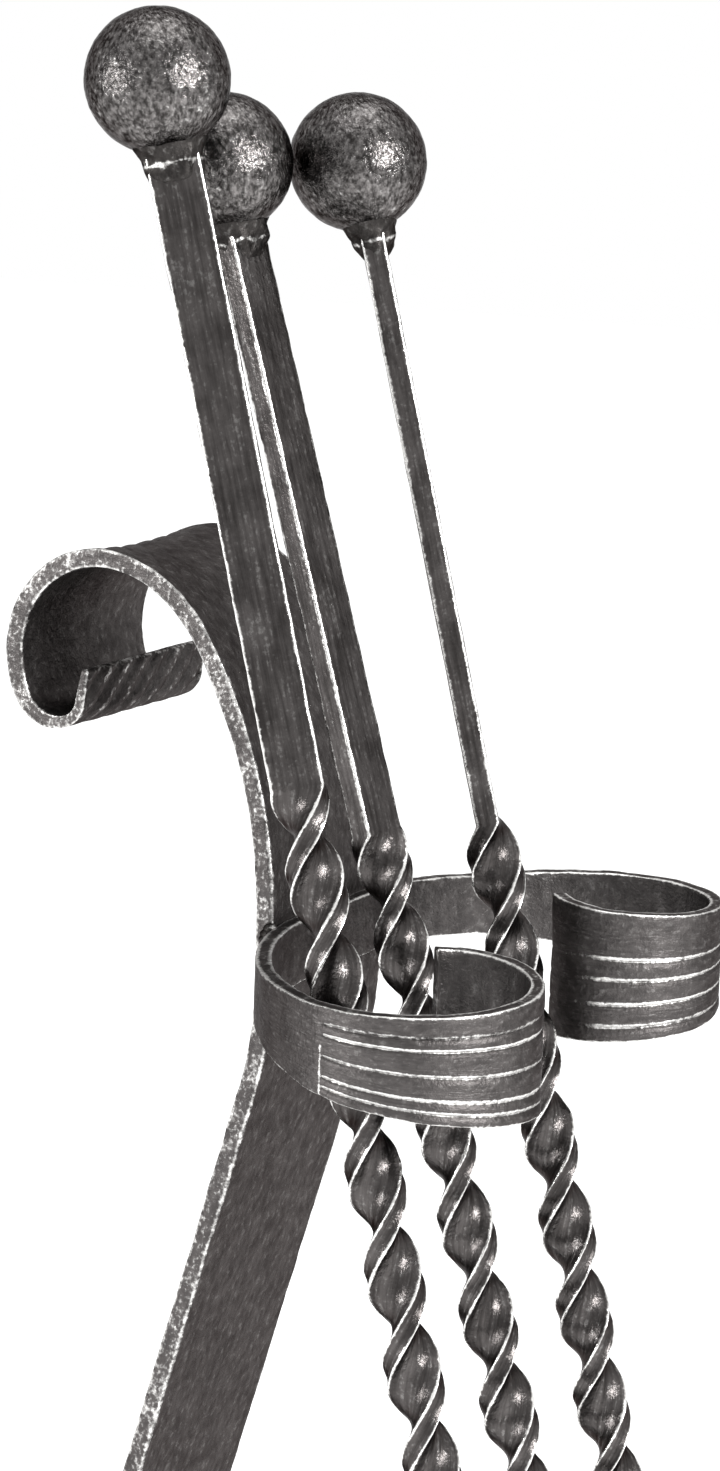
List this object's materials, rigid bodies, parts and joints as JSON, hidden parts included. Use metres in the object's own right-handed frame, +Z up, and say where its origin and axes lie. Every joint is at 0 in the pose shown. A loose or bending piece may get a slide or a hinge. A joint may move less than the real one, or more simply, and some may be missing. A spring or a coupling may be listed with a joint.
{
  "type": "fireplace tool set",
  "caption": "Forged steel fireplace tool set: twisted bars with ball knobs stand in a scrolled holder with curled rings; shovel, poker and brush lift out.",
  "frame": {"origin": "on the floor, under the middle of the set's box", "axes": "+Z up, front is -Y, +X to the right seen from the front"},
  "size_m": [0.25, 0.31, 0.6497],
  "materials": {
    "forged_dark": "antique black-silver patina over forged steel, worn bright on every edge",
    "forged_twist": "twisted bar with bright worn edges and dark hollows",
    "ball_steel": "hammered and brushed steel ball, dark patina with silver highlights",
    "weld": "lumpy weld under dark patina",
    "sheet": "hammered sheet, dark patina, worn edges",
    "rivet": "hammered rivet heads",
    "block": "plain beech",
    "bristle": "stiff dark fibre"
  },
  "bodies": {
    "stand": {"stem": "forged_dark", "cross_band": "forged_dark", "band_welds": "weld", "front_foot": "forged_dark", "rear_foot": "forged_dark", "foot_welds": "weld", "hearth_pan": "sheet", "pan_welds": "weld"},
    "shovel": {"shovel_knob": "ball_steel", "shovel_collar": "weld", "shovel_shaft": "forged_twist", "shovel_blade": "sheet", "shovel_rivets": "rivet"},
    "poker": {"poker_knob": "ball_steel", "poker_collar": "weld", "poker_shaft": "forged_twist", "poker_hook": "forged_twist", "poker_hook_weld": "weld"},
    "brush": {"brush_knob": "ball_steel", "brush_collar": "weld", "brush_shaft": "forged_twist", "brush_cup": "sheet", "brush_block": "block", "brush_bristles": "bristle", "brush_pin": "rivet"}
  },
  "joints": [
    {"name": "shovel_lift", "type": "slide", "parent": "stand", "child": "shovel", "axis": [0.012, 0.2559, 0.9666], "range_m": [0, 0.12]},
    {"name": "poker_lift", "type": "slide", "parent": "stand", "child": "poker", "axis": [-0.0147, 0.2748, 0.9614], "range_m": [0, 0.12]},
    {"name": "brush_lift", "type": "slide", "parent": "stand", "child": "brush", "axis": [-0.042, 0.229, 0.9725], "range_m": [0, 0.12]}
  ]
}
